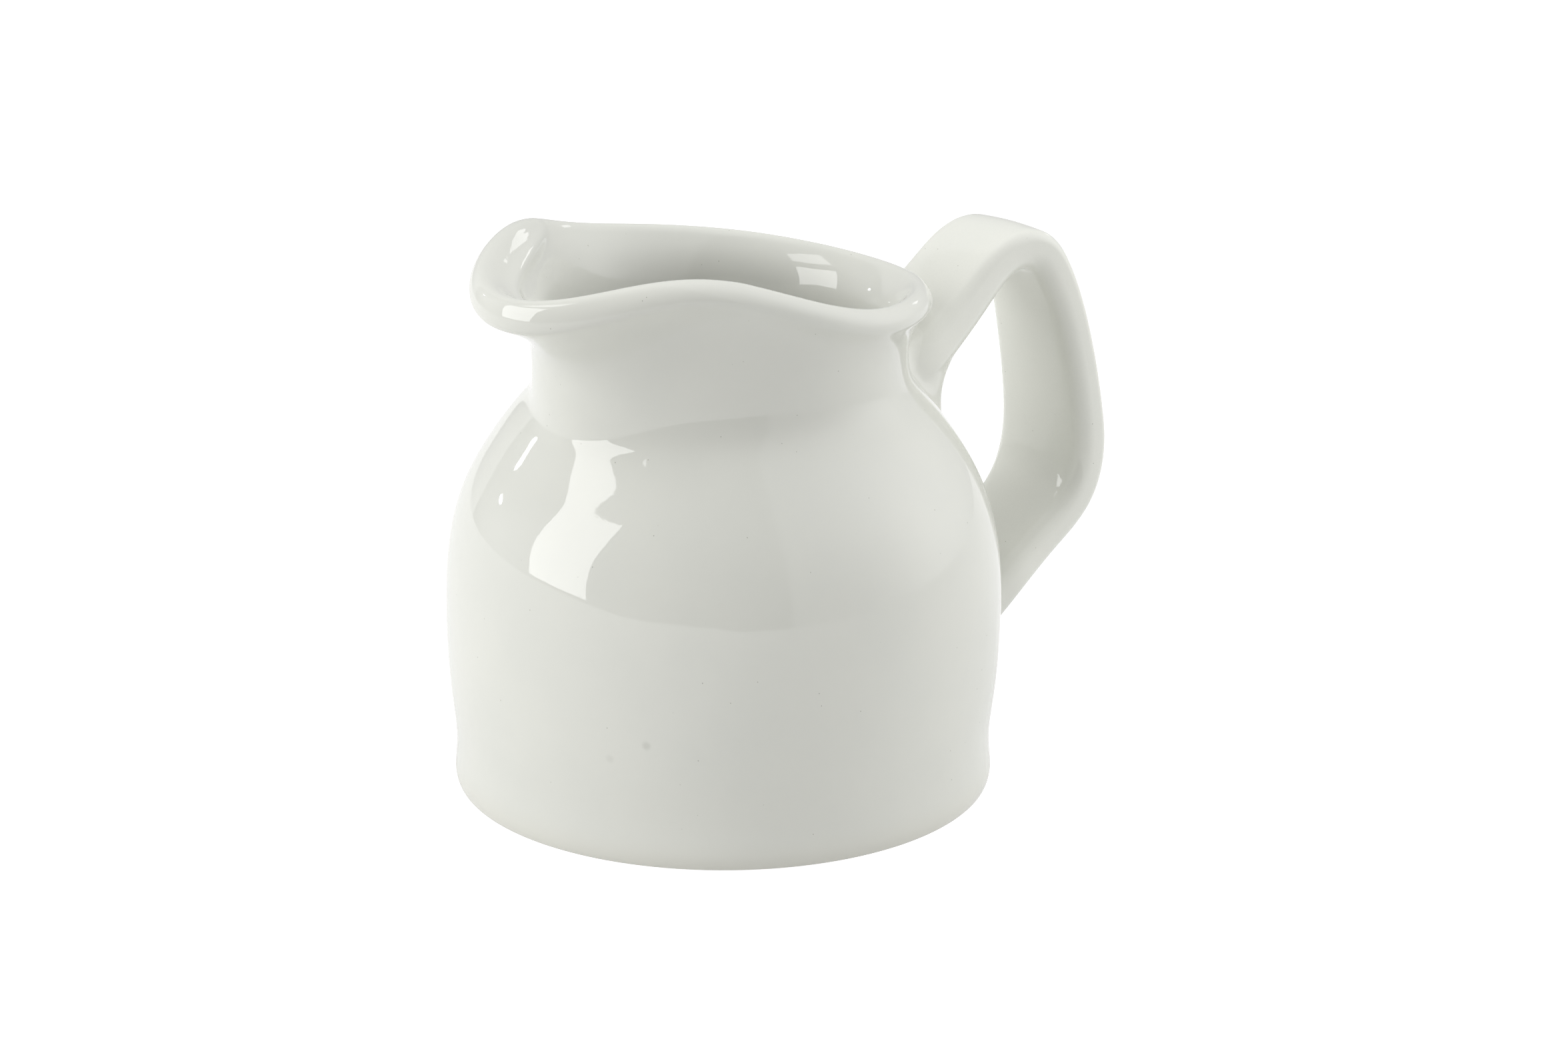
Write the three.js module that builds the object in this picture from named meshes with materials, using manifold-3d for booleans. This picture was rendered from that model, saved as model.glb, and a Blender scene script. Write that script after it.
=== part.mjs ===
// Small glazed porcelain pitcher: a thick-walled round body with a wavy rim and a broad pouring lip,
// and a flat strap handle luted to the neck and to the belly with a collar of slip at each end.
//
// Millimetres, +Z up. The foot stands on z = 0, +X runs towards the handle and -X towards the lip.
// Everything is laid out about the axis of the body, and the whole pitcher is then moved along X,
// so that the origin is under the middle of its overall length.
import * as THREE from 'three';
import { mergeVertices } from 'three/addons/utils/BufferGeometryUtils.js';
import Module from 'manifold-3d';

const wasm = await Module();
wasm.setup();

// ---- driving dimensions ---------------------------------------------------------------------
const wall = 3.6; // thickness of the fired wall
const gap = 0.3; // clearance between a piece and its neighbour

// Middle of the wall from the foot up to the neck, as [radius, height].
const wallLine = [
  [37.2, 1.8], [36.9, 6.5], [37.5, 13], [38.2, 25], [37.6, 35.5], [35.3, 43.5],
  [31.9, 49.85], [28.1, 54.85], [25.45, 58.4], [24.4, 62.9],
];
// The last part of that line under the lip, where the channel of the spout starts lower and wider.
const spoutLine = [[35.6, 43.5], [31.5, 49.4], [28.7, 53.7], [27.6, 55.9], [27.4, 58.5]];
const spoutWidth = 32; // in degrees, like the angles of the rim
const wallSteps = 14; // rings between the foot and the neck
const neckSteps = 6; // rings between the neck and the rim
const segments = 40; // facets around the body
const edgeSteps = 4; // facets over the rounded edge of the rim

// Rim, along the middle of the wall. Angles are in degrees, measured from the middle of the lip.
// Its tilt is its climb from the handle to the lip, and its flare is the power that the neck opens by.
const rim = { radius: 27.8, height: 71.2, tilt: 6.2, flare: 2.7, lipFlare: 1 };
const crest = { rise: 3.8, angle: 43, width: 31 }; // one on each side of the lip
const lip = { reach: 11.4, width: 32.5, dip: 2.9, dipWidth: 25 };
const handleDip = { depth: 1, width: 42 }; // the rim is a little lower at the handle

// Underside and floor.
const foot = { inner: 33.5, outer: 38.3, recess: 2, bevel: 1.2, steps: 2 };
const floor = { height: 6, round: 9, steps: 4 };

// Handle: the middle of the strap as [X, Z, width, thickness], from inside the neck to inside the
// belly. The edges of the strap are rounded by a share of its thickness.
const handleLine = [
  [21, 49.5, 17, 8.6], [34, 57.9, 16.4, 8], [44.3, 66, 15.2, 6.8], [50.8, 70.2, 14.8, 6.1],
  [56, 69.8, 15, 5.8], [59.3, 65.9, 15.6, 5.5], [62.8, 56, 17.4, 5.1], [65.2, 44, 18.6, 5.2],
  [65.5, 37.4, 19, 5.5], [63.5, 31.2, 18.8, 5.5], [57.3, 25.4, 17.6, 5.6], [47, 17.4, 17, 5.8],
  [39.5, 12.8, 17, 6.2], [32, 9.6, 17, 6.6],
];
const strap = { edgeShare: 0.3, steps: 34, edgeFacets: 3, faceFacets: 4 };

// Collar of slip round each end of the strap: its leg along the strap and along the wall, on the
// face inside the finger loop, on the outer face, and at the sides of the strap.
const collar = { innerLeg: 6.5, outerLeg: 3, sideLeg: 2.6, hollow: 1.1, curveSteps: 3 };

// ---- colours --------------------------------------------------------------------------------
const glaze = { color: 0xe6e9e3, roughness: 0.15, metalness: 0 };

// ---- helpers --------------------------------------------------------------------------------
const degree = Math.PI / 180;

function bell(angle, width) {
  return Math.exp(-((angle / width) ** 2));
}

function atAngle(radius, angle, height) {
  return new THREE.Vector3(radius * Math.cos(angle), radius * Math.sin(angle), height);
}

function middle(points) {
  const sum = new THREE.Vector3();
  points.forEach((point) => sum.add(point));
  return sum.divideScalar(points.length);
}

// Joins rings of equal length with quads, ring by ring, and gives the triangles' corners.
function bands(ringCount, count, closed) {
  const triangles = [];
  const last = closed ? ringCount : ringCount - 1;
  for (let ring = 0; ring < last; ring += 1) {
    const nextRing = ((ring + 1) % ringCount) * count;
    for (let i = 0; i < count; i += 1) {
      const a = ring * count + i;
      const b = ring * count + ((i + 1) % count);
      const c = nextRing + ((i + 1) % count);
      const d = nextRing + i;
      triangles.push(a, b, c, a, c, d);
    }
  }
  return triangles;
}

function solidGeometry(points, triangles) {
  const geometry = new THREE.BufferGeometry().setFromPoints(points);
  geometry.setIndex(triangles);
  geometry.computeVertexNormals();
  return geometry;
}

// A closed solid through rings of points, with a fan over the first ring and over the last.
function loft(rings) {
  const count = rings[0].length;
  const points = [...rings.flat(), middle(rings[0]), middle(rings.at(-1))];
  const triangles = bands(rings.length, count, false);
  const start = (rings.length - 1) * count;
  for (let i = 0; i < count; i += 1) {
    const next = (i + 1) % count;
    triangles.push(points.length - 2, next, i);
    triangles.push(points.length - 1, start + i, start + next);
  }
  return solidGeometry(points, triangles);
}

function toSolid(geometry) {
  const shape = geometry.clone();
  shape.deleteAttribute('normal');
  const merged = mergeVertices(shape);
  return new wasm.Manifold(new wasm.Mesh({
    numProp: 3,
    vertProperties: new Float32Array(merged.attributes.position.array),
    triVerts: new Uint32Array(merged.index.array),
  }));
}

function cut(geometry, tool) {
  const { vertProperties, triVerts } = toSolid(geometry).subtract(toSolid(tool)).getMesh();
  const result = new THREE.BufferGeometry();
  result.setAttribute('position', new THREE.BufferAttribute(vertProperties, 3));
  result.setIndex(new THREE.BufferAttribute(triVerts, 1));
  result.computeVertexNormals();
  return result;
}

function piece(name, geometry) {
  const mesh = new THREE.Mesh(geometry, new THREE.MeshStandardMaterial(glaze));
  mesh.name = name;
  return mesh;
}

// ---- wall of the body -----------------------------------------------------------------------
function splineThrough(line) {
  return new THREE.SplineCurve(line.map(([radius, height]) => new THREE.Vector2(radius, height)));
}

const belly = splineThrough(wallLine);
const spout = splineThrough([...wallLine.slice(0, -spoutLine.length), ...spoutLine]);
const topStep = wallSteps + neckSteps;

// Degrees from the middle of the lip, for an angle measured from +X, where the handle is.
function fromLip(angle) {
  return 180 - Math.abs(angle / degree);
}

// Middle of the wall at the rim.
function rimPoint(angle) {
  const away = fromLip(angle);
  const climb = (rim.tilt * (1 - Math.cos(angle))) / 2;
  const rise = crest.rise * (bell(away - crest.angle, crest.width) + bell(away + crest.angle, crest.width));
  const dip = lip.dip * bell(away, lip.dipWidth) + handleDip.depth * bell(180 - away, handleDip.width);
  const radius = rim.radius + lip.reach * bell(away, lip.width);
  return atAngle(radius, angle, rim.height + climb + rise - dip);
}

// Middle of the wall at a step, which need not be whole: the belly first, then the flaring neck.
function wallPoint(angle, step) {
  const up = Math.min(step / wallSteps, 1);
  const { x: radius, y: height } = belly.getPoint(up)
    .lerp(spout.getPoint(up), bell(fromLip(angle), spoutWidth));
  if (step <= wallSteps) return atAngle(radius, angle, height);
  const along = (step - wallSteps) / neckSteps;
  const edge = rimPoint(angle);
  const opening = Math.hypot(edge.x, edge.y) - radius;
  const flare = rim.flare + rim.lipFlare * bell(fromLip(angle), lip.width);
  return atAngle(radius + opening * along ** flare, angle, height + (edge.z - height) * along);
}

// Unit vectors at a point of the wall: out of the wall, and up along it.
function wallAxes(angle, step) {
  const small = 1e-3;
  const above = Math.min(step + small, topStep);
  const below = Math.max(above - 2 * small, 0);
  const along = wallPoint(angle, above).sub(wallPoint(angle, below)).normalize();
  const around = wallPoint(angle + small, step).sub(wallPoint(angle - small, step)).normalize();
  const out = around.cross(along).normalize();
  return { out, along };
}

function offsetPoint(angle, step, distance) {
  return wallPoint(angle, step).addScaledVector(wallAxes(angle, step).out, distance);
}

// Rounded edge of the rim: turn 0 is on the outside of the wall and turn 180 degrees is inside.
function edgePoint(angle, turn) {
  const { out, along } = wallAxes(angle, topStep);
  return wallPoint(angle, topStep)
    .addScaledVector(out, (wall / 2) * Math.cos(turn))
    .addScaledVector(along, (wall / 2) * Math.sin(turn));
}

// ---- body -----------------------------------------------------------------------------------
function range(from, to) {
  const count = Math.abs(to - from) + 1;
  const sign = Math.sign(to - from);
  return Array.from({ length: count }, (_, i) => from + sign * i);
}

function ringOf(pointAt) {
  return range(0, segments - 1).map((i) => {
    const turns = i <= segments / 2 ? i : i - segments;
    return pointAt((turns / segments) * 2 * Math.PI);
  });
}

// Quarter of an ellipse from a foot ring or floor edge up to the wall, as a ring at each step.
function roundRings(steps, fromRadius, toRadius, fromHeight, toHeight) {
  return range(1, steps - 1).map((step) => {
    const turn = (step / steps) * (Math.PI / 2);
    const radius = fromRadius + (toRadius - fromRadius) * Math.sin(turn);
    const height = toHeight + (fromHeight - toHeight) * Math.cos(turn);
    return ringOf((angle) => atAngle(radius, angle, height));
  });
}

function bodySolid() {
  const firstWall = offsetPoint(0, 0, wall / 2);
  const floorStep = range(0, wallSteps).find((step) => wallPoint(0, step).z > floor.height + floor.round);
  const lastWall = offsetPoint(0, floorStep, -wall / 2);
  const flatRing = (radius, height) => ringOf((angle) => atAngle(radius, angle, height));
  const floorEdge = lastWall.x - floor.round;
  return loft([
    flatRing(foot.inner - foot.bevel, foot.recess),
    flatRing(foot.inner, 0),
    flatRing(foot.outer, 0),
    ...roundRings(foot.steps, foot.outer, firstWall.x, 0, firstWall.z),
    ...range(0, topStep).map((step) => ringOf((angle) => offsetPoint(angle, step, wall / 2))),
    ...range(1, edgeSteps - 1).map((i) => ringOf((angle) => edgePoint(angle, (i / edgeSteps) * Math.PI))),
    ...range(topStep, floorStep).map((step) => ringOf((angle) => offsetPoint(angle, step, -wall / 2))),
    ...roundRings(floor.steps, floorEdge, lastWall.x, floor.height, lastWall.z).reverse(),
    flatRing(floorEdge, floor.height),
  ]);
}

// The filled outside of the body, enlarged by a clearance, for cutting the ends of the handle.
function bodyEnvelope(clearance) {
  const distance = wall / 2 + clearance;
  return loft(range(0, topStep).map((step) => ringOf((angle) => offsetPoint(angle, step, distance))));
}

// ---- handle ---------------------------------------------------------------------------------
const handlePath = new THREE.CatmullRomCurve3(
  handleLine.map(([x, z]) => new THREE.Vector3(x, 0, z)), false, 'centripetal');

// Width and thickness of the strap at a place along it, from 0 to 1, between its neighbours'.
function sizeAt(along) {
  const station = handlePath.getUtoTmapping(along) * (handleLine.length - 1);
  const before = Math.min(Math.floor(station), handleLine.length - 2);
  const [width, thickness] = [2, 3].map((column) => (
    THREE.MathUtils.lerp(handleLine[before][column], handleLine[before + 1][column], station - before)));
  return { width, thickness, edge: strap.edgeShare * thickness };
}

// Outline of the strap, a rounded rectangle. Each point belongs to a place between the centres of
// the rounded edges, given across the strap and to its side, and faces in a direction, its turn.
function strapOutline() {
  const corners = [[1, 1], [-1, 1], [-1, -1], [1, -1]];
  return corners.flatMap(([across, side], corner) => {
    const edge = range(0, strap.edgeFacets).map((i) => (
      { across, side, turn: (corner + i / strap.edgeFacets) * (Math.PI / 2) }));
    const face = range(1, strap.faceFacets - 1).map((i) => (
      { across, side: side * (1 - (2 * i) / strap.faceFacets), turn: (corner + 1) * (Math.PI / 2) }));
    const isWideFace = across !== side;
    return isWideFace ? [...edge, ...face] : edge;
  });
}

function strapAxes(along) {
  const tangent = handlePath.getTangentAt(along);
  const sideways = new THREE.Vector3(0, 1, 0);
  return { sideways, across: sideways.clone().cross(tangent) };
}

function strapOutward({ turn }, along) {
  const { sideways, across } = strapAxes(along);
  return across.multiplyScalar(Math.cos(turn)).addScaledVector(sideways, Math.sin(turn));
}

function strapPoint(outlinePoint, along, clearance) {
  const { across, sideways } = strapAxes(along);
  const { width, thickness, edge } = sizeAt(along);
  return handlePath.getPointAt(along)
    .addScaledVector(across, outlinePoint.across * (thickness / 2 - edge))
    .addScaledVector(sideways, outlinePoint.side * (width / 2 - edge))
    .addScaledVector(strapOutward(outlinePoint, along), edge + clearance);
}

function strapSolid() {
  return loft(range(0, strap.steps).map((step) => (
    strapOutline().map((outlinePoint) => strapPoint(outlinePoint, step / strap.steps, 0)))));
}

// ---- collars of slip ------------------------------------------------------------------------
// Last place between two where a test still holds, when it holds at the first one.
function lastWhere(test, first, last) {
  const halvings = 30;
  let holds = first;
  let fails = last;
  for (let i = 0; i < halvings; i += 1) {
    const half = (holds + fails) / 2;
    if (test(half)) holds = half;
    else fails = half;
  }
  return holds;
}

// Radius of the outside of the wall, enlarged by a clearance, at a height below the neck.
function outsideRadius(height, clearance) {
  const outside = (step) => offsetPoint(0, step, wall / 2 + clearance);
  return outside(lastWhere((step) => outside(step).z < height, 0, wallSteps)).x;
}

function outsideWall(point, clearance) {
  return Math.hypot(point.x, point.y) - outsideRadius(point.z, clearance);
}

// Puts a point on the outside of the wall, straight in or out at its own height.
function ontoWall(point, clearance) {
  return atAngle(outsideRadius(point.z, clearance), Math.atan2(point.y, point.x), point.z);
}

// Place along the strap where one line of its outline comes out of the wall.
function exitAlong(outlinePoint, inside, outside) {
  return lastWhere((along) => outsideWall(strapPoint(outlinePoint, along, gap), gap) < 0, inside, outside);
}

function collarLeg(turn) {
  const faceLeg = Math.cos(turn) > 0 ? collar.innerLeg : collar.outerLeg;
  return THREE.MathUtils.lerp(collar.sideLeg, faceLeg, Math.cos(turn) ** 2);
}

// A closed fillet round the strap: one leg lies along the strap, the other along the wall, and
// the face between them is hollow.
function collarSolid(inside, outside) {
  const sign = Math.sign(outside - inside);
  const sections = strapOutline().map((outlinePoint) => {
    const leg = collarLeg(outlinePoint.turn);
    const exit = exitAlong(outlinePoint, inside, outside);
    const corner = strapPoint(outlinePoint, exit, gap);
    const top = strapPoint(outlinePoint, exit + (sign * leg) / handlePath.getLength(), gap);
    const outward = strapOutward(outlinePoint, exit);
    const spread = ontoWall(corner.clone().addScaledVector(outward, leg), gap);
    const face = range(1, collar.curveSteps - 1).map((i) => {
      const share = i / collar.curveSteps;
      const straight = top.clone().lerp(spread, share);
      return straight.lerp(corner, collar.hollow * share * (1 - share));
    });
    return [corner, top, ...face, spread];
  });
  const count = sections[0].length;
  const triangles = bands(sections.length, count, true);
  if (sign < 0) triangles.reverse();
  return solidGeometry(sections.flat(), triangles);
}

// ---- pitcher --------------------------------------------------------------------------------
const middleOfHandle = 0.5;
const pitcher = new THREE.Group();
pitcher.add(
  piece('jug_body', bodySolid()),
  piece('handle', cut(strapSolid(), bodyEnvelope(gap))),
  piece('upper_handle_joint', collarSolid(0, middleOfHandle)),
  piece('lower_handle_joint', collarSolid(1, middleOfHandle)),
);
pitcher.position.x = -new THREE.Box3().setFromObject(pitcher).getCenter(new THREE.Vector3()).x;

export default pitcher;
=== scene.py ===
"""Looks of a small glazed porcelain pitcher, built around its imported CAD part.

The CAD part gives the frame and the sizes. This script puts a fine mesh in the place of each of its
four solids: the body, the strap handle, and the fillet of slip at each end of the handle.
Metres throughout, +Z up, +X towards the handle and -X towards the pouring lip. The shapes are laid out
about the axis of the body, and each mesh is then moved along X to where the body stands in the frame.
"""
import math

import bpy
import numpy as np
from mathutils import Matrix, Vector


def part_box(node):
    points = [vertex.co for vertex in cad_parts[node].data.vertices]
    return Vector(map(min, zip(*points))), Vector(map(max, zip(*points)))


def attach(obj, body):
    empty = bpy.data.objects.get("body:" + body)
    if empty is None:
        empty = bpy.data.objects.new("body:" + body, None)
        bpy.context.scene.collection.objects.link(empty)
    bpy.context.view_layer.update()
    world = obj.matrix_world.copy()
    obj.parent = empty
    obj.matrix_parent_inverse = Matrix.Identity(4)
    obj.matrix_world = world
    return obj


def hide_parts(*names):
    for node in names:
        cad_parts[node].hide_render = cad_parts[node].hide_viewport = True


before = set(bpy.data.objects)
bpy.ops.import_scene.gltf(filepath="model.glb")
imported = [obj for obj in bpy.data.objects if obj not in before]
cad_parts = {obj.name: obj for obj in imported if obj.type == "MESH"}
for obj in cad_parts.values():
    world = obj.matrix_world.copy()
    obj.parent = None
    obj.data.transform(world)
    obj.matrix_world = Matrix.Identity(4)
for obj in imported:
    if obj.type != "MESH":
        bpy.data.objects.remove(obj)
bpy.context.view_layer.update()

# ---- driving sizes ----------------------------------------------------------------------------
MM = 0.001
BODY_LOW, BODY_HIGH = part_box("jug_body")
BELLY = (BODY_HIGH.y - BODY_LOW.y) / 2  # outside radius of the belly
AXIS_X = BODY_HIGH.x - BELLY  # where the axis of the body stands
WALL = 3.6 * MM  # thickness of the fired wall

# Middle of the wall from the foot up to the neck, as [radius, height]: all round, and its upper part
# under the lip, where the channel of the spout starts lower and wider.
WALL_LINE = MM * np.array([
    [37.2, 1.8], [36.9, 6.5], [37.5, 13], [38.2, 25], [37.6, 35.5], [35.3, 43.5],
    [31.8, 49.8], [28.0, 54.8], [25.4, 58.4], [24.4, 62.9],
])
SPOUT_LINE = MM * np.array([[35.6, 43.5], [31.5, 49.4], [28.7, 53.7], [27.6, 55.9], [27.4, 58.5]])
SPOUT_WIDTH = 32  # degrees from the middle of the lip
WALL_ROWS = 180  # rings between the foot and the rim
COLUMNS = 240  # facets around the body
EDGE_ROWS = 14  # rings over the rounded edge of the rim
FLARE_PLACES = np.array([0.3, 0.55, 0.8, 1])  # shares of the way from the neck to the rim

# Rim, along the middle of the wall. Angles are in degrees, measured from the middle of the lip.
RIM = {"radius": 27.8 * MM, "height": 71.2 * MM, "tilt": 6.2 * MM, "flare": 2.7, "lip_flare": 1}
HANDLE_DIP = {"depth": 1 * MM, "width": 42}  # the rim is a little lower at the handle
CREST = {"rise": 3.25 * MM, "angle": 43, "width": 31}  # one on each side of the lip
FRONT_DIP = {"depth": 1.2 * MM, "angle": 100, "width": 26}  # lower on one side, between lip and handle
LIP = {"reach": 11.4 * MM, "width": 32.5, "dip": 2.9 * MM, "dip_side": 3, "dip_width": 25}
RIM_EDGE = {"flatness": 2.3, "height": 0.95, "lean": 0.25}  # section: 2, 1 and 0 would make it round
RIM_BEAD = {"lip": 1.2 * MM, "handle": 0.8 * MM, "width": 50, "depth": 5 * MM}  # fuller inner edge
RIDGE = {"depth": 0.5 * MM, "below_rim": 4.3 * MM, "width": 1.1 * MM, "end": 58}  # the spout's bend

# Underside, as [radius, height, radius of the corner], from the axis to the edge of the foot.
FOOT_LINE = MM * np.array([[0, 2, 0], [32.2, 2, 1.2], [33.6, 0, 0.6], [38.3, 0, 0]])
FOOT_EDGE_STEPS = 8
BARE_FOOT = (33.9 * MM, 37.9 * MM)  # the unglazed ring that the pitcher was fired on

# Inside of the body below its walls, from the middle of the floor, as [radius, height].
FLOOR_LINE = MM * np.array([[0.4, 6], [12, 6], [22, 6.05], [28, 7.2], [32.6, 10.5], [35, 15.5]])
FLOOR_TOP = 20 * MM  # the wall's own line is followed above this
FLOOR_SAMPLES = 60  # points along each line of the floor
FLOOR_LEAD = 6  # rows of the wall that the floor's line runs on into
FLOOR_GAP = 0.2 * MM  # least height between the floor's last ring and the wall's first

# Slow unevenness of the surface that the mould and the finishing sponge leave, as
# [depth, waves around, waves per metre of height, phase].
WOBBLE = [
    [0.03 * MM, 3, 14, 0.4], [0.02 * MM, 5, -21, 2.1], [0.012 * MM, 8, 37, 4], [0.008 * MM, 13, -48, 1.2],
]
WOBBLE_FULL = 8 * MM  # height by which it has grown to its full depth, from none at the foot

# Handle: the middle of the strap as [X, Z, width, thickness], from inside the neck to inside the
# belly.
HANDLE_LINE = MM * np.array([
    [21, 49.5, 17, 8.6], [34, 57.9, 16.4, 8], [44.3, 66, 15.2, 6.8], [50.8, 70.2, 14.8, 6.1],
    [56, 69.8, 15, 5.8], [59.3, 65.9, 15.6, 5.5], [62.8, 56, 17.4, 5.1], [65.2, 44, 18.6, 5.2],
    [65.5, 37.4, 19, 5.5], [63.5, 31.2, 18.8, 5.5], [57.3, 25.4, 17.6, 5.6], [47, 17.4, 17, 5.8],
    [39.5, 12.8, 17, 6.2], [32, 9.6, 17, 6.6],
])
# Radius of the strap's edges, inside and outside the finger loop, as a share of its thickness.
EDGE_SHARE = {"inner": 0.48, "outer": 0.27}
CROWN = 0.42 * MM  # how far each wide face bulges at its middle
STRAP_SAMPLES = 1200  # points along the line that the strap is measured on
STRAP_ROWS = 260
EDGE_FACETS = 8
FACE_FACETS = 14
SUNK = 1.0 * MM  # how far each end of the strap goes into the wall
SETTLE = 22 * MM  # length over which the rings turn from the wall's slope to square
EXIT_SAMPLES = 1500  # steps of the search for where the strap leaves the wall

# Fillet of slip: its leg along the strap and along the wall, on the face inside the finger loop, on
# the outer face, and at the sides of the strap.
FILLET = {"inner": 13 * MM, "outer": 7 * MM, "side": 2.6 * MM, "steps": 16}
TUCK = 0.5 * MM  # how deep its back lies in the wall
SKIN = 0.04 * MM  # how far its edges go in under the faces of the wall and the strap
BACK_SHARES = (1, 0.75, 0.5, 0.25)  # places of its back rows, as shares of its leg
NUDGE = 0.05 * MM  # short step that its slopes are taken over


# ---- lines and grids --------------------------------------------------------------------------
def spline(points, count):
    """Gives count points spread along a natural cubic spline, which is paced by the first two columns."""
    points = np.asarray(points, float)
    steps = np.linalg.norm(np.diff(points[:, :2], axis=0), axis=1)
    knots = np.concatenate([[0], np.cumsum(steps)])
    matrix = np.eye(len(points))
    pull = np.zeros_like(points)
    for i in range(1, len(points) - 1):
        matrix[i, i - 1:i + 2] = steps[i - 1], 2 * (steps[i - 1] + steps[i]), steps[i]
        slopes = np.diff(points[i - 1:i + 2], axis=0) / steps[i - 1:i + 1, None]
        pull[i] = 6 * (slopes[1] - slopes[0])
    bend = np.linalg.solve(matrix, pull)
    at = np.linspace(0, knots[-1], count)
    i = np.clip(np.searchsorted(knots, at, side="right") - 1, 0, len(steps) - 1)
    step = steps[i][:, None]
    left = (knots[i + 1] - at)[:, None]
    right = (at - knots[i])[:, None]
    curve = (bend[i] * left**3 + bend[i + 1] * right**3) / (6 * step)
    start = (points[i] / step - bend[i] * step / 6) * left
    end = (points[i + 1] / step - bend[i + 1] * step / 6) * right
    return curve + start + end


def rounded(corners, steps):
    """Gives the line through [radius, height, corner radius] rows, with an arc at each rounded corner."""
    line = []
    for i, (*point, size) in enumerate(corners):
        point = np.array(point)
        if size == 0:
            line.append(point)
            continue
        back = corners[i - 1][:2] - point
        ahead = corners[i + 1][:2] - point
        back = back / np.linalg.norm(back)
        ahead = ahead / np.linalg.norm(ahead)
        half_angle = math.acos(np.clip(back @ ahead, -1, 1)) / 2
        reach = size / math.tan(half_angle)
        for share in np.linspace(0, 1, steps):
            line.append(point + reach * (back * (1 - share) ** 2 + ahead * share**2))
    return np.array(line)


def unit(vectors):
    return vectors / np.linalg.norm(vectors, axis=-1, keepdims=True)


def turned(radius, angle, height):
    """Points at a radius and height, turned about the axis."""
    radius, angle, height = np.broadcast_arrays(radius, angle, height)
    return np.stack([radius * np.cos(angle), radius * np.sin(angle), height], axis=-1)


def band_faces(rings, columns, closed):
    """Quads between neighbouring rings, and from the last ring to the first one if closed."""
    faces = []
    for ring in range(rings if closed else rings - 1):
        here = ring * columns
        above = ((ring + 1) % rings) * columns
        for i in range(columns):
            j = (i + 1) % columns
            faces.append((here + i, here + j, above + j, above + i))
    return faces


def volume(points, faces):
    """Signed volume within the faces: it is negative where they face inwards."""
    total = 0.0
    for face in faces:
        first = points[face[0]]
        for a, b in zip(face[1:-1], face[2:]):
            total += first @ np.cross(points[a], points[b])
    return total


def piece(name, grid, closed=False):
    """Makes a smooth object of a grid of rings, capped with fans at both ends unless it is closed."""
    rings, columns = grid.shape[:2]
    points = grid.reshape(-1, 3)
    faces = band_faces(rings, columns, closed)
    if not closed:
        points = np.vstack([points, grid[0].mean(axis=0), grid[-1].mean(axis=0)])
        start, end = len(points) - 2, len(points) - 1
        last = (rings - 1) * columns
        for i in range(columns):
            j = (i + 1) % columns
            faces.append((start, j, i))
            faces.append((end, last + i, last + j))
    if volume(points, faces) < 0:
        faces = [face[::-1] for face in faces]
    points = points + [AXIS_X, 0, 0]
    mesh = bpy.data.meshes.new(name)
    mesh.from_pydata(points.tolist(), [], faces)
    mesh.shade_smooth()
    mesh.update()
    obj = bpy.data.objects.new(name, mesh)
    bpy.context.scene.collection.objects.link(obj)
    return obj


# ---- wall of the body -------------------------------------------------------------------------
def bell(angle, width):
    """Smooth hump that is 1 at 0 and falls away over the width."""
    return np.exp(-((angle / width) ** 2))


def from_lip(angle):
    """Degrees from the middle of the lip, for an angle in radians from the handle."""
    return 180 - np.abs(np.degrees(angle))


def rim_at(angle):
    """Radius and height of the middle of the wall at the rim."""
    off = from_lip(angle)
    side = np.where(np.sin(angle) < 0, off, -off)  # the same, but negative on the +Y side
    climb = RIM["tilt"] * (1 - np.cos(angle)) / 2
    crests = bell(side - CREST["angle"], CREST["width"]) + bell(side + CREST["angle"], CREST["width"])
    rise = CREST["rise"] * crests
    dip = LIP["dip"] * bell(side - LIP["dip_side"], LIP["dip_width"])
    dip = dip + HANDLE_DIP["depth"] * bell(180 - off, HANDLE_DIP["width"])
    dip = dip + FRONT_DIP["depth"] * bell(side - FRONT_DIP["angle"], FRONT_DIP["width"])
    radius = RIM["radius"] + LIP["reach"] * bell(off, LIP["width"])
    return radius, RIM["height"] + climb + rise - dip


def wall_column(angle):
    """Middle of the wall from the foot to the rim at one angle: the belly, then the flaring neck."""
    line = WALL_LINE.copy()
    upper = slice(-len(SPOUT_LINE), None)
    line[upper] += (SPOUT_LINE - line[upper]) * bell(from_lip(angle), SPOUT_WIDTH)
    neck_radius, neck_height = line[-1]
    radius, height = rim_at(angle)
    bend = RIM["flare"] + RIM["lip_flare"] * bell(from_lip(angle), LIP["width"])
    flare = np.stack([
        neck_radius + (radius - neck_radius) * FLARE_PLACES ** bend,
        neck_height + (height - neck_height) * FLARE_PLACES,
    ], axis=1)
    return spline(np.vstack([line, flare]), WALL_ROWS)


def wobble(angle, height):
    """How far the surface stands out of true."""
    total = 0
    for depth, around, along, phase in WOBBLE:
        total = total + depth * np.sin(around * angle + 2 * math.pi * along * height + phase)
    return total * np.clip(height / WOBBLE_FULL, 0, 1)


ANGLES = np.linspace(-math.pi, math.pi, COLUMNS, endpoint=False)


def wall_grid():
    """Middle of the wall as rings of points, with the directions out of it and up along it."""
    lines = np.array([wall_column(angle) for angle in ANGLES])
    radius = lines[:, :, 0].T
    height = lines[:, :, 1].T
    grid = turned(radius + wobble(ANGLES, height), ANGLES, height)
    along = np.gradient(grid, axis=0)
    around = np.roll(grid, -1, axis=1) - np.roll(grid, 1, axis=1)
    return grid, unit(np.cross(around, along)), unit(along)


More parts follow.
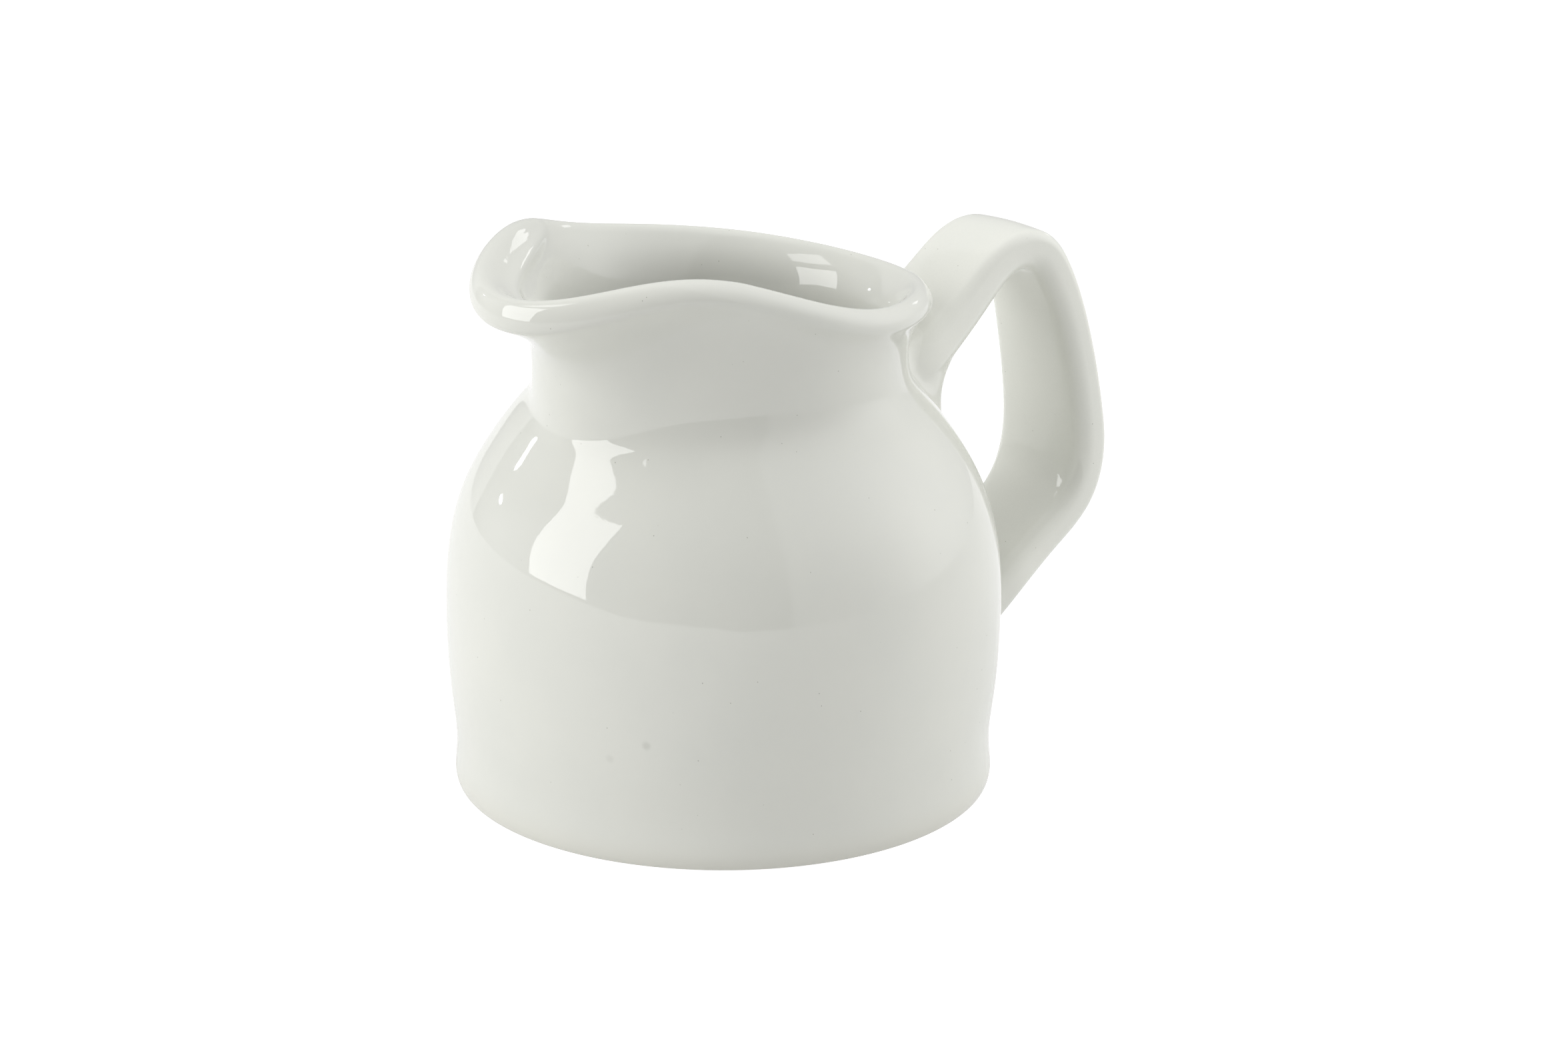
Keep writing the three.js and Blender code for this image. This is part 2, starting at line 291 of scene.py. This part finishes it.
# ---- body -------------------------------------------------------------------------------------
def foot_grid(wall_foot):
    """Rings from near the middle of the underside out to the lowest ring of the wall."""
    line = rounded(FOOT_LINE, FOOT_EDGE_STEPS)[1:]
    underside = turned(line[:, 0, None], ANGLES, line[:, 1, None])
    turn = np.linspace(0, math.pi / 2, FOOT_EDGE_STEPS)[1:-1, None, None]
    spread = wall_foot - underside[-1]
    sideways = spread * [1, 1, 0]
    upward = spread * [0, 0, 1]
    edge = underside[-1] + sideways * np.sin(turn) + upward * (1 - np.cos(turn))
    return np.concatenate([underside, edge])


def squared(share):
    """Takes a sine or cosine of the way round the rim's edge to the same place on its squarer section."""
    return np.sign(share) * np.abs(share) ** (2 / RIM_EDGE["flatness"])


def rim_edge_grid(outer, inner, out, up):
    """Rings over the edge of the rim, from its outer side to its inner side."""
    middle = (outer + inner) / 2
    half = np.linalg.norm(outer - inner, axis=-1, keepdims=True) / 2
    turn = np.linspace(0, math.pi, EDGE_ROWS)[1:-1, None, None]
    upward = squared(np.sin(turn)) * RIM_EDGE["height"] * (1 - RIM_EDGE["lean"] * np.cos(turn))
    return middle + out * half * squared(np.cos(turn)) + up * upward * WALL / 2


def inner_relief(below_rim):
    """How far the inside stands proud: the full edge of the rim, and the bend round the spout."""
    off = from_lip(ANGLES)
    bead = RIM_BEAD["lip"] * bell(off, RIM_BEAD["width"])
    bead = bead + RIM_BEAD["handle"] * bell(180 - off, RIM_BEAD["width"])
    share = np.clip(off / RIDGE["end"], 0, 1)
    line = RIDGE["below_rim"] * (1 - share**3)
    ridge = RIDGE["depth"] * (1 - share**6) * bell(below_rim - line, RIDGE["width"])
    return bead * bell(below_rim, RIM_BEAD["depth"]) + ridge


def body_grid():
    """Rings from the underside up the outside, over the rim and down the inside to the floor."""
    grid, out, up = wall_grid()
    outside = grid + out * WALL / 2
    below_rim = np.linalg.norm(grid - grid[-1], axis=-1)
    inside = grid - out * (WALL / 2 + inner_relief(below_rim)[..., None])
    edge = rim_edge_grid(outside[-1], inside[-1], out[-1], up[-1])
    inside = inside[grid[:, 0, 2] > FLOOR_TOP]
    floor = floor_grid(inside[:FLOOR_LEAD])
    return np.concatenate([foot_grid(outside[0]), outside, edge, inside[::-1], floor])


def floor_grid(wall_rows):
    """Rings from the lowest rows of the inside wall down to the middle of the floor."""
    rings = []
    radius = np.linalg.norm(wall_rows[..., :2], axis=-1)
    height = wall_rows[..., 2]
    for column in range(COLUMNS):
        above = np.stack([radius[:, column], height[:, column]], axis=1)
        line = spline(np.vstack([FLOOR_LINE, above]), FLOOR_SAMPLES)
        rings.append(line[line[:, 1] < above[0, 1] - FLOOR_GAP][::-1])
    count = min(len(line) for line in rings)
    lines = np.array([line[:count] for line in rings])
    return turned(lines[:, :, 0].T, ANGLES, lines[:, :, 1].T)


# ---- handle -----------------------------------------------------------------------------------
STRAP = spline(HANDLE_LINE, STRAP_SAMPLES)
STRAP_AT = np.concatenate([[0], np.cumsum(np.linalg.norm(np.diff(STRAP[:, :2], axis=0), axis=1))])
STRAP_LENGTH = STRAP_AT[-1]


def strap_outline():
    """Places of the outline across the strap and to its side, and the direction each faces."""
    rows = []
    for corner, (across, side) in enumerate([(1, 1), (-1, 1), (-1, -1), (1, -1)]):
        for i in range(EDGE_FACETS + 1):
            rows.append((across, side, (corner + i / EDGE_FACETS) * math.pi / 2))
        if across != side:
            for i in range(1, FACE_FACETS):
                rows.append((across, side * (1 - 2 * i / FACE_FACETS), (corner + 1) * math.pi / 2))
    return np.array(rows).T


ACROSS, SIDE, TURN = strap_outline()
SIDEWAYS = np.array([0.0, 1.0, 0.0])


def strap_axis(distance):
    """Direction across the strap, from its outer face to the face inside the loop."""
    tangent = np.gradient(STRAP[:, :2], STRAP_AT, axis=0)
    tangent_x = np.interp(distance, STRAP_AT, tangent[:, 0])
    tangent_z = np.interp(distance, STRAP_AT, tangent[:, 1])
    return unit(np.stack([tangent_z, np.zeros_like(tangent_z), -tangent_x], axis=-1))


def strap_outward(distance):
    """Direction that each line of the outline faces."""
    across = strap_axis(distance)
    return across * np.cos(TURN)[:, None] + SIDEWAYS * np.sin(TURN)[:, None]


def strap_points(distance):
    """Points of the strap's surface, one for each line of its outline, at distances along it."""
    x, z, width, thickness = (np.interp(distance, STRAP_AT, column) for column in STRAP.T)
    edge = np.where(ACROSS > 0, EDGE_SHARE["inner"], EDGE_SHARE["outer"]) * thickness
    middle = np.stack([x, np.zeros_like(x), z], axis=-1)
    sideways = SIDE * (width / 2 - edge) + edge * np.sin(TURN)
    crown = CROWN * ACROSS * (1 - (sideways / (width / 2)) ** 2)
    across = ACROSS * (thickness / 2 - edge) + edge * np.cos(TURN) + crown
    return middle + across[..., None] * strap_axis(distance) + sideways[..., None] * SIDEWAYS


# ---- where the handle meets the body ----------------------------------------------------------
def outside_line():
    """Radius of the outside of the wall on the side of the handle, against height."""
    line = wall_column(0.0)
    along = unit(np.gradient(line, axis=0))
    outside = line + np.stack([along[:, 1], -along[:, 0]], axis=1) * WALL / 2
    return outside[:, 0], outside[:, 1]


OUTSIDE_RADIUS, OUTSIDE_HEIGHT = outside_line()


def outside_at(point):
    """Radius of the outside of the wall at the angle and the height of each point."""
    angle = np.arctan2(point[..., 1], point[..., 0])
    radius = np.interp(point[..., 2], OUTSIDE_HEIGHT, OUTSIDE_RADIUS)
    return radius + wobble(angle, point[..., 2])


def onto_wall(point, sunk=0.0):
    """The place on the outside of the wall, or sunk into it, at each point's angle and height."""
    angle = np.arctan2(point[..., 1], point[..., 0])
    return turned(outside_at(point) - sunk, angle, point[..., 2])


def exits(inside, outside):
    """Distance along the strap where each line of its outline comes out of the wall."""
    distance = np.linspace(inside, outside, EXIT_SAMPLES)[:, None] + np.zeros(len(TURN))
    points = strap_points(distance)
    clear = np.hypot(points[..., 0], points[..., 1]) - outside_at(points)
    after = np.argmax(clear > 0, axis=0)
    line = np.arange(len(TURN))
    low, high = clear[after - 1, line], clear[after, line]
    share = low / (low - high)
    return distance[after - 1, line] * (1 - share) + distance[after, line] * share


MIDDLE = STRAP_LENGTH / 2
UPPER_EXIT = exits(0, MIDDLE)
LOWER_EXIT = exits(STRAP_LENGTH, MIDDLE)


def handle_grid():
    """Rings along the strap, which follow the wall at both ends and are square between."""
    start = UPPER_EXIT - SUNK
    end = LOWER_EXIT + SUNK
    marks = [0, SETTLE, STRAP_LENGTH - SETTLE, STRAP_LENGTH]
    rows = []
    for at in np.linspace(0, STRAP_LENGTH, STRAP_ROWS):
        rows.append([
            np.interp(at, marks, [first, SETTLE, STRAP_LENGTH - SETTLE, last])
            for first, last in zip(start, end)
        ])
    return strap_points(np.array(rows))


def fillet_leg():
    """Leg of the fillet at each line of the strap's outline."""
    facing = np.where(np.cos(TURN) > 0, FILLET["inner"], FILLET["outer"])
    return FILLET["side"] + (facing - FILLET["side"]) * np.cos(TURN) ** 2


def fillet_grid(exit_at, sign):
    """A closed ring of slip round the strap, whose face leaves the strap and the wall smoothly."""
    leg = fillet_leg()
    corner = strap_points(exit_at)
    outward = strap_outward(exit_at)

    def on_strap(reach):
        return strap_points(exit_at + sign * reach)

    def on_wall(reach):
        return onto_wall(corner + outward * reach[:, None])

    top, foot = on_strap(leg), on_wall(leg)
    top_way = unit(on_strap(leg - NUDGE) - on_strap(leg + NUDGE))
    foot_way = unit(on_wall(leg + NUDGE) - on_wall(leg - NUDGE))
    top_pull = top_way * 2 * np.linalg.norm(corner - top, axis=1)[:, None]
    foot_pull = foot_way * 2 * np.linalg.norm(foot - corner, axis=1)[:, None]
    share = np.linspace(0, 1, FILLET["steps"])[:, None, None]
    face = (
        top * (2 * share**3 - 3 * share**2 + 1) + top_pull * (share**3 - 2 * share**2 + share)
        + foot * (3 * share**2 - 2 * share**3) + foot_pull * (share**3 - share**2)
    )
    over_strap = on_strap(leg + TUCK) - outward * SKIN
    over_wall = onto_wall(on_wall(leg + TUCK), SKIN)
    back = [onto_wall(on_wall(leg * share), TUCK) for share in BACK_SHARES]
    core = onto_wall(corner - outward * TUCK, TUCK)
    section = np.concatenate([over_strap[None], face, over_wall[None], back, core[None]])
    return section.transpose(1, 0, 2)


# ---- materials --------------------------------------------------------------------------------
class Nodes:
    """Adds nodes to a tree and joins them, so that a material reads like a formula."""

    def __init__(self, tree):
        self.tree = tree
        tree.nodes.clear()

    def add(self, kind, inputs=None, output=0, **settings):
        node = self.tree.nodes.new(kind)
        for name, value in settings.items():
            setattr(node, name, value)
        for name, value in (inputs or {}).items():
            if isinstance(value, bpy.types.NodeSocket):
                self.tree.links.new(value, node.inputs[name])
            else:
                node.inputs[name].default_value = value
        return node.outputs[output] if node.outputs else node

    def math(self, operation, first, second=0.0, clamp=False):
        return self.add("ShaderNodeMath", {0: first, 1: second}, operation=operation, use_clamp=clamp)

    def ramp(self, value, low, high, start=0.0, end=1.0):
        """Goes smoothly from start to end as value goes from low to high."""
        inputs = {"Value": value, "From Min": low, "From Max": high, "To Min": start, "To Max": end}
        return self.add("ShaderNodeMapRange", inputs, interpolation_type="SMOOTHSTEP")

    def mix(self, factor, first, second):
        """Blends two colours, which are inputs 6 and 7 of this node and output 2."""
        return self.add("ShaderNodeMix", {0: factor, 6: first, 7: second}, output=2, data_type="RGBA")

    def noise(self, vector, scale, detail=2.0):
        return self.add("ShaderNodeTexNoise", {"Vector": vector, "Scale": scale, "Detail": detail})

    def millimetres(self):
        """Place on the object, in millimetres."""
        place = self.add("ShaderNodeTexCoord", output=3)
        return self.add("ShaderNodeVectorMath", {0: place, "Scale": 1 / MM}, operation="SCALE")


GLAZE_LIGHT = (0.66, 0.665, 0.615, 1)
GLAZE_SHADE = (0.645, 0.652, 0.605, 1)
WARM = (0.625, 0.615, 0.55, 1)
SPECK = (0.25, 0.25, 0.21, 1)
IRON_SPOTS = [((-46.6, -22.6, 18.4), 0.2), ((-49.2, -17.8, 15.7), 0.1)]  # place in mm and darkness
BISQUE = (0.80, 0.77, 0.70, 1)
BISQUE_SHADE = (0.70, 0.67, 0.60, 1)
HANDLE_PAINTED_LIGHT = 1.12  # painted light: the glaze colour is made this much lighter on the handle, standing in for light that falls on it
# Where the painted light on the handle fades in from the wall: its direction, and the distances along that
# direction in mm, from the middle of the body's foot.
PAINTED_LIGHT_FADE = {"way": (0.9, 0, 0.43), "start": 51.5, "end": 58}
NOISE = {  # scale per mm, and detail
    "cloud": (0.07, 3.0), "grain": (3.5, 2.0), "waves": (0.12, 1.0), "peel": (0.9, 1.0), "bisque": (5.0, 4.0),
}
MIDDLE_OF_NOISE = (0.3, 0.7)  # the range of a noise that a blend goes over
GRAIN = {"low": 0.35, "high": 0.75, "share": 0.12}
PINHOLES = {"scale": 0.4, "edge": 0.04, "core": 0.02, "darkness": 0.6}
WARM_FOOT = {"height": 5, "share": 0.5}  # mm
SPOT = {"edge": 0.9, "core": 0.2}  # radii of an iron spot, in mm
RELIEF = {"waves": 0.03 * MM, "peel": 0.003 * MM, "pits": -0.03 * MM, "bisque": 0.06 * MM}
GLAZE_ROUGHNESS = (0.025, 0.04)
BISQUE_ROUGHNESS = 0.8
PORCELAIN_IOR = 1.5


def shade(colour, tone):
    red, green, blue, alpha = colour
    return red * tone, green * tone, blue * tone, alpha


def glaze(name, on_handle=False):
    """Clear glossy glaze over white porcelain, slightly uneven, with a few pinholes, and lightened with
    painted light on the handle.
    """
    material = bpy.data.materials.new(name)
    material.use_nodes = True
    nodes = Nodes(material.node_tree)
    place = nodes.millimetres()
    height = nodes.add("ShaderNodeSeparateXYZ", {0: place}, output=2)

    cloud = nodes.noise(place, *NOISE["cloud"])
    colour = nodes.mix(nodes.ramp(cloud, *MIDDLE_OF_NOISE), GLAZE_LIGHT, GLAZE_SHADE)
    if on_handle:
        # painted light: a lighter copy of the glaze colour, faded in from the wall towards the handle
        painted_light_colour = nodes.mix(nodes.ramp(cloud, *MIDDLE_OF_NOISE), shade(GLAZE_LIGHT, HANDLE_PAINTED_LIGHT),
                         shade(GLAZE_SHADE, HANDLE_PAINTED_LIGHT))
        away = nodes.add("ShaderNodeVectorMath", {0: place, 1: PAINTED_LIGHT_FADE["way"]}, output=1,
                         operation="DOT_PRODUCT")
        foot = PAINTED_LIGHT_FADE["way"][0] * AXIS_X / MM
        colour = nodes.mix(nodes.ramp(away, foot + PAINTED_LIGHT_FADE["start"], foot + PAINTED_LIGHT_FADE["end"]),
                           colour, painted_light_colour)
    warmth = nodes.ramp(height, WARM_FOOT["height"], 0, 0, WARM_FOOT["share"])
    colour = nodes.mix(warmth, colour, WARM)
    grain = nodes.noise(place, *NOISE["grain"])
    mottle = nodes.ramp(grain, GRAIN["low"], GRAIN["high"], 0, GRAIN["share"])
    colour = nodes.mix(mottle, colour, GLAZE_SHADE)
    cells = nodes.add("ShaderNodeTexVoronoi", {"Vector": place, "Scale": PINHOLES["scale"]})
    hole = nodes.ramp(cells, PINHOLES["edge"], PINHOLES["core"])
    colour = nodes.mix(nodes.math("MULTIPLY", hole, PINHOLES["darkness"]), colour, SPECK)

    for spot, darkness in IRON_SPOTS:
        away = nodes.add("ShaderNodeVectorMath", {0: place, 1: spot}, output=1, operation="DISTANCE")
        colour = nodes.mix(nodes.ramp(away, SPOT["edge"], SPOT["core"], 0, darkness), colour, SPECK)

    waves = nodes.math("MULTIPLY", nodes.noise(place, *NOISE["waves"]), RELIEF["waves"])
    peel = nodes.math("MULTIPLY", nodes.noise(place, *NOISE["peel"]), RELIEF["peel"])
    pits = nodes.math("MULTIPLY", hole, RELIEF["pits"])
    relief = nodes.math("ADD", nodes.math("ADD", waves, peel), pits)
    bump = nodes.add("ShaderNodeBump", {"Height": relief, "Distance": 1.0, "Strength": 1.0})

    roughness = nodes.ramp(cloud, *MIDDLE_OF_NOISE, *GLAZE_ROUGHNESS)
    shader = nodes.add("ShaderNodeBsdfPrincipled", {
        "Base Color": colour, "Roughness": roughness, "Normal": bump, "IOR": PORCELAIN_IOR,
    })
    nodes.add("ShaderNodeOutputMaterial", {"Surface": shader})
    return material


def bisque(name):
    """Bare fired porcelain, dry and finely grained."""
    material = bpy.data.materials.new(name)
    material.use_nodes = True
    nodes = Nodes(material.node_tree)
    place = nodes.millimetres()
    grain = nodes.noise(place, *NOISE["bisque"])
    colour = nodes.mix(nodes.ramp(grain, *MIDDLE_OF_NOISE), BISQUE, BISQUE_SHADE)
    relief = nodes.math("MULTIPLY", grain, RELIEF["bisque"])
    bump = nodes.add("ShaderNodeBump", {"Height": relief, "Distance": 1.0, "Strength": 1.0})
    shader = nodes.add("ShaderNodeBsdfPrincipled", {
        "Base Color": colour, "Roughness": BISQUE_ROUGHNESS, "Normal": bump, "IOR": PORCELAIN_IOR,
    })
    nodes.add("ShaderNodeOutputMaterial", {"Surface": shader})
    return material


# ---- pieces -----------------------------------------------------------------------------------
FLAT = 0.05 * MM  # faces lower than this belong to the flat of the foot


def bare_foot(body):
    """Gives the flat of the foot ring its second material, the bare porcelain."""
    for face in body.data.polygons:
        radius = math.hypot(face.center.x - AXIS_X, face.center.y)
        if face.center.z < FLAT and BARE_FOOT[0] < radius < BARE_FOOT[1]:
            face.material_index = 1


def place_piece(obj, node, slot, *materials):
    """Gives the object its materials and its place in the frame."""
    for material in materials:
        obj.data.materials.append(material)
    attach(obj, "root")
    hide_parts(node)


body = piece("jug_body_glazed", body_grid())
place_piece(body, "jug_body", "body_glaze", glaze("body_glaze"), bisque("bare_foot"))
bare_foot(body)
handle = piece("strap_handle", handle_grid())
place_piece(handle, "handle", "handle_glaze", glaze("handle_glaze", on_handle=True))
upper = piece("upper_fillet", fillet_grid(UPPER_EXIT, 1), closed=True)
place_piece(upper, "upper_handle_joint", "slip_glaze", glaze("slip_glaze", on_handle=True))
lower = piece("lower_fillet", fillet_grid(LOWER_EXIT, -1), closed=True)
place_piece(lower, "lower_handle_joint", "slip_glaze", upper.data.materials[0])


# ---- studio -----------------------------------------------------------------------------------
def direction(azimuth, elevation):
    """Unit vector towards a place in the studio: azimuth 0 is in front, at -Y, and 90 at +X."""
    a, e = math.radians(azimuth), math.radians(elevation)
    return Vector((math.sin(a) * math.cos(e), -math.cos(a) * math.cos(e), math.sin(e)))


def emitter(name, strength):
    """A material that gives even white light."""
    material = bpy.data.materials.new(name)
    material.use_nodes = True
    nodes = Nodes(material.node_tree)
    light = nodes.add("ShaderNodeEmission", {"Strength": strength})
    nodes.add("ShaderNodeOutputMaterial", {"Surface": light})
    return material


CARD_DISTANCE = 3.0
EYE_HEIGHT = 0.045  # height of the middle of the body, where the studio's directions are measured from


def card(name, outline, strength, lights_all=False):
    """A lit card outside the picture, its outline given as azimuths and elevations in degrees."""
    centre = Vector((AXIS_X, 0, EYE_HEIGHT))
    points = [centre + direction(*corner) * CARD_DISTANCE for corner in outline]
    mesh = bpy.data.meshes.new(name)
    mesh.from_pydata(points, [], [tuple(range(len(points)))])
    mesh.materials.append(emitter(name, strength))
    obj = bpy.data.objects.new(name, mesh)
    bpy.context.scene.collection.objects.link(obj)
    obj.visible_camera = False
    obj.visible_diffuse = lights_all
    obj.visible_shadow = False


LOWER_PANE = [(-126.5, -1), (-96, -1), (-96, 41.5), (-112, 40.5), (-134, 38), (-130, 20)]
UPPER_PANE = [(-134, 46), (-112, 48), (-96, 50), (-96, 60), (-134, 58)]
DOORWAY = [(100, 14), (106, 14), (106, 19.5), (100, 19.5)]
LAMP = {"azimuth": -162.9, "elevation": 16.4, "half_width": 1.9, "half_height": 1, "sides": 15}


def lamp_outline():
    """An oval, as azimuths and elevations."""
    outline = []
    for turn in np.linspace(0, 2 * math.pi, LAMP["sides"] + 1)[:-1]:
        azimuth = LAMP["azimuth"] + LAMP["half_width"] * math.cos(turn)
        elevation = LAMP["elevation"] + LAMP["half_height"] * math.sin(turn)
        outline.append((azimuth, elevation))
    return outline


card("window_lower_card", LOWER_PANE, 5, lights_all=True)
card("window_upper_card", UPPER_PANE, 4, lights_all=True)
card("lamp_card", lamp_outline(), 12)
card("doorway_card", DOORWAY, 2.5)

# Soft patches of light on the walls and the ceiling, as (azimuth, elevation, strength).
SOFT_LIGHTS = [
    (60, 12, 1.15), (25, 30, 0.25), (45, 45, 0.65), (90, 45, 0.5),
    (-150, 12, 0.72), (-135, 45, 0.4), (0, 90, 1.3),
]
SOFT_SPREAD = 8  # the higher, the narrower each patch
ROOM = (-177, -12)  # azimuths of the corners of the dark side of the room, behind the camera
DARK_WALLS = 0.03
BRIGHT_WALLS = 0.53
HORIZON = -2.5  # elevation of the edge of the table


def studio_world():
    """A room with its dark side behind the camera, bright walls on the other, and soft lights."""
    world = bpy.data.worlds.new("studio")
    world.use_nodes = True
    nodes = Nodes(world.node_tree)
    ray = nodes.add("ShaderNodeTexCoord", output=0)
    x, y = (nodes.add("ShaderNodeSeparateXYZ", {0: ray}, output=axis) for axis in (0, 1))
    azimuth = nodes.math("MULTIPLY", nodes.math("ARCTAN2", x, nodes.math("MULTIPLY", y, -1.0)),
                         180 / math.pi)
    low, high = ROOM
    dark_side = nodes.math("MULTIPLY", nodes.ramp(azimuth, low - 1, low + 1),
                           nodes.ramp(azimuth, high + 1, high - 1))
    light = nodes.ramp(dark_side, 0, 1, BRIGHT_WALLS, DARK_WALLS)
    for patch_azimuth, elevation, strength in SOFT_LIGHTS:
        facing = nodes.add("ShaderNodeVectorMath", {0: ray, 1: direction(patch_azimuth, elevation)},
                           output=1, operation="DOT_PRODUCT")
        spread = nodes.math("MULTIPLY", nodes.math("SUBTRACT", facing, 1.0), SOFT_SPREAD)
        patch = nodes.math("MULTIPLY", nodes.math("EXPONENT", spread), strength)
        light = nodes.math("ADD", light, patch)
    shader = nodes.add("ShaderNodeBackground", {"Color": (1, 1, 1, 1), "Strength": light})
    seen = nodes.add("ShaderNodeBackground", {"Color": (1, 1, 1, 1), "Strength": 1.0})
    straight = nodes.add("ShaderNodeLightPath", output=0)
    both = nodes.add("ShaderNodeMixShader", {0: straight, 1: shader, 2: seen})
    nodes.add("ShaderNodeOutputWorld", {"Surface": both})
    bpy.context.scene.world = world


studio_world()

FLOOR_SIDES = 96
FLOOR_GLOW = 0.4
FLOOR_GLOW_SEEN = 0.45  # added where the camera sees the floor itself, so that it looks white
PAPER = (0.5, 0.5, 0.5, 1)
PAPER_GAP = 0.05 * MM  # how far the paper lies under the foot


def floor_plane():
    """A round table covered with white paper."""
    size = EYE_HEIGHT / math.tan(math.radians(-HORIZON))
    turns = np.linspace(0, 2 * math.pi, FLOOR_SIDES + 1)[:-1]
    mesh = bpy.data.meshes.new("floor")
    mesh.from_pydata([(size * math.cos(t), size * math.sin(t), 0) for t in turns], [], [range(FLOOR_SIDES)])
    material = bpy.data.materials.new("floor")
    material.use_nodes = True
    nodes = Nodes(material.node_tree)
    seen = nodes.add("ShaderNodeLightPath", output=0)
    strength = nodes.ramp(seen, 0, 1, FLOOR_GLOW, FLOOR_GLOW + FLOOR_GLOW_SEEN)
    glow = nodes.add("ShaderNodeEmission", {"Strength": strength})
    paper = nodes.add("ShaderNodeBsdfDiffuse", {"Color": PAPER})
    both = nodes.add("ShaderNodeAddShader", {0: glow, 1: paper})
    nodes.add("ShaderNodeOutputMaterial", {"Surface": both})
    mesh.materials.append(material)
    obj = bpy.data.objects.new("floor", mesh)
    obj.location.z = -PAPER_GAP
    bpy.context.scene.collection.objects.link(obj)


floor_plane()

# ---- camera -----------------------------------------------------------------------------------
VIEW = {"azimuth": -41, "elevation": 18.34, "roll": 0.344, "distance": 645.8 * MM, "lens": 101.4}
LOOK_RIGHT = 8.88 * MM  # how far the middle of the picture is from the middle of the body's foot
LOOK_UP = 35.95 * MM
SENSOR_WIDTH = 36  # mm


def camera():
    """Places the camera and makes it the scene's own."""
    back = direction(VIEW["azimuth"], VIEW["elevation"])
    level = direction(VIEW["azimuth"] + 90, 0)
    upright = back.cross(level)
    roll = math.radians(VIEW["roll"])
    right = level * math.cos(roll) + upright * math.sin(roll)
    up = back.cross(right)
    place = Vector((AXIS_X, 0, 0)) + right * LOOK_RIGHT + up * LOOK_UP + back * VIEW["distance"]
    data = bpy.data.cameras.new("camera")
    data.lens = VIEW["lens"]
    data.sensor_width = SENSOR_WIDTH
    data.clip_start = 0.01
    obj = bpy.data.objects.new("camera", data)
    obj.matrix_world = Matrix((right, up, back)).transposed().to_4x4()
    obj.location = place
    bpy.context.scene.collection.objects.link(obj)
    bpy.context.scene.camera = obj


camera()
bpy.context.scene.view_settings.view_transform = "Standard"
